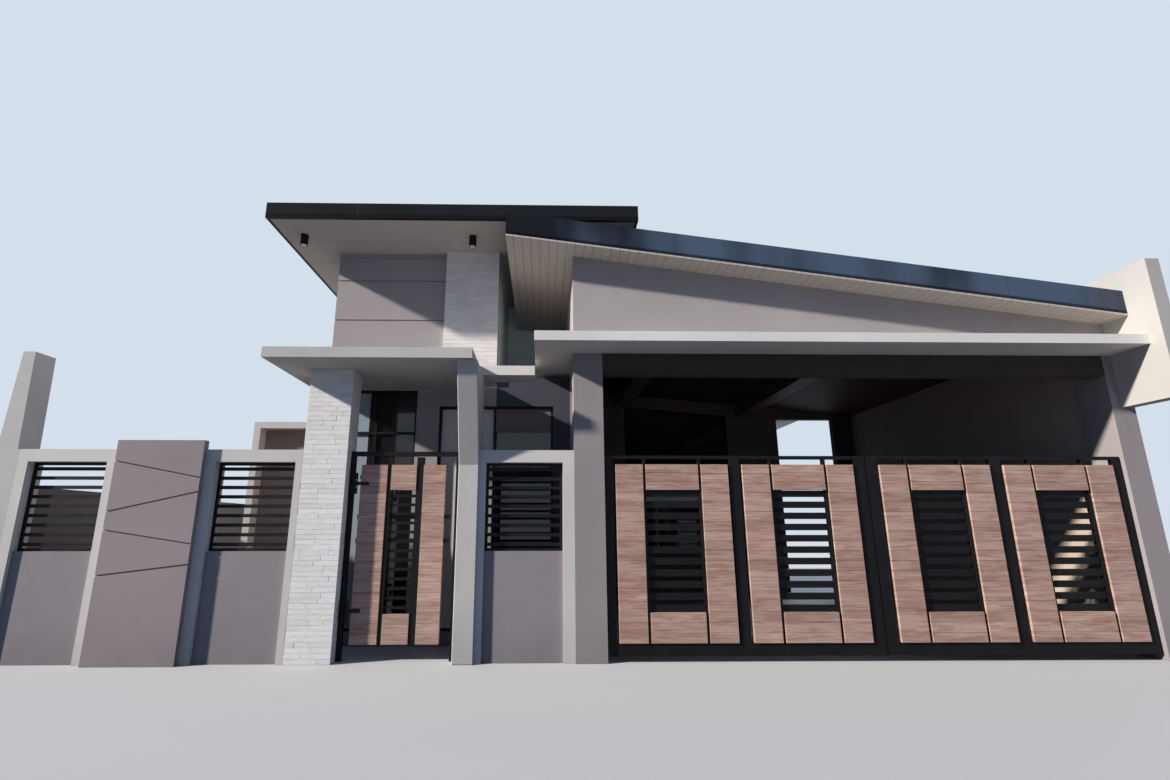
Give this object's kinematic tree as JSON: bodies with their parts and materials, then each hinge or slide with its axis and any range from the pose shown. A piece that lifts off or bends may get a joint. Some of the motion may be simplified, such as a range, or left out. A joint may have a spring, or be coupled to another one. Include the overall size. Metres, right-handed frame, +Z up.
{
  "type": "modern bungalow with gated carport",
  "caption": "Single-storey modern bungalow with a tall entry block, a lean-to carport roof, swing gates and a slatted street fence.",
  "frame": {"origin": "bottom centre of the overall bounding box", "axes": "+X to the right along the street, +Y from the street into the plot, +Z up"},
  "size_m": [12.4, 10.8, 5.0351],
  "materials": {
    "plaster_light": "painted render, fine grain",
    "plaster_mauve": "painted render, fine grain",
    "plaster_cream": "painted render, fine grain",
    "cream_brick": "thin bricks",
    "black_steel": "satin black",
    "gate_wood": "horizontal slatted boards",
    "roof_metal": "dark sheet",
    "soffit_board": "painted boards",
    "ceiling_board": "dark stained boards",
    "glass": "blue grey",
    "panel_white": "smooth light panel",
    "plaster_slate": "painted render, dark blue grey",
    "dark_render": "painted render",
    "floor_concrete": "smooth"
  },
  "bodies": {
    "house": {"boundary_fin": "plaster_light", "boundary_wall": "plaster_mauve", "fence_wall_left": "plaster_light", "fence_wall_middle": "plaster_light", "fence_wall_right": "plaster_light", "fence_infills": "plaster_mauve", "fence_feature_panel": "plaster_mauve", "fence_grille_left": "black_steel", "fence_grille_middle": "black_steel", "fence_grille_right": "black_steel", "brick_pier": "cream_brick", "canopy_fin": "plaster_mauve", "entry_canopy": "plaster_light", "porch_ledge": "plaster_light", "carport_canopy": "plaster_light", "drive_beam": "plaster_light", "gate_column_left": "plaster_mauve", "gate_column_right": "plaster_mauve", "entry_gate_portal": "black_steel", "gate_hinges": "black_steel", "gable_wall": "plaster_mauve", "porch_side_wall": "plaster_mauve", "firewall": "plaster_cream", "carport_lining": "dark_render", "carport_back_wall": "dark_render", "passage_jamb": "plaster_slate", "carport_ceiling": "ceiling_board", "ceiling_beams": "ceiling_board", "tower_front_wall": "plaster_mauve", "brick_column": "cream_brick", "recess_walls": "plaster_mauve", "foyer_wall": "plaster_mauve", "entrance_frame": "black_steel", "entrance_panel": "panel_white", "entrance_band": "plaster_mauve", "entrance_glass": "glass", "high_side_wall": "plaster_light", "left_wall": "plaster_light", "rear_walls": "plaster_light", "window_frames": "black_steel", "window_glass": "glass", "house_floor": "floor_concrete", "side_frame": "plaster_light", "side_bay_wall": "dark_render", "high_roof": "roof_metal", "high_soffit": "soffit_board", "soffit_lights": "black_steel", "lean_roof": "roof_metal", "lean_soffit": "soffit_board"},
    "drive_leaf_left": {"drive_leaf_left_frame": "black_steel", "drive_leaf_left_boards": "gate_wood"},
    "drive_leaf_right": {"drive_leaf_right_frame": "black_steel", "drive_leaf_right_boards": "gate_wood"},
    "entry_leaf": {"entry_gate_frame": "black_steel", "entry_gate_boards": "gate_wood"}
  },
  "joints": [
    {"name": "drive_gate_left_hinge", "type": "hinge", "parent": "house", "child": "drive_leaf_left", "pos_m": [0.34, -4.692, 1], "axis": [0, 0, 1], "range_deg": [0, 90]},
    {"name": "drive_gate_right_hinge", "type": "hinge", "parent": "house", "child": "drive_leaf_right", "pos_m": [5.905, -4.692, 1], "axis": [0, 0, -1], "range_deg": [0, 90]},
    {"name": "entry_gate_hinge", "type": "hinge", "parent": "house", "child": "entry_leaf", "pos_m": [-2.346, -4.683, 1], "axis": [0, 0, -1], "range_deg": [0, 90]}
  ]
}
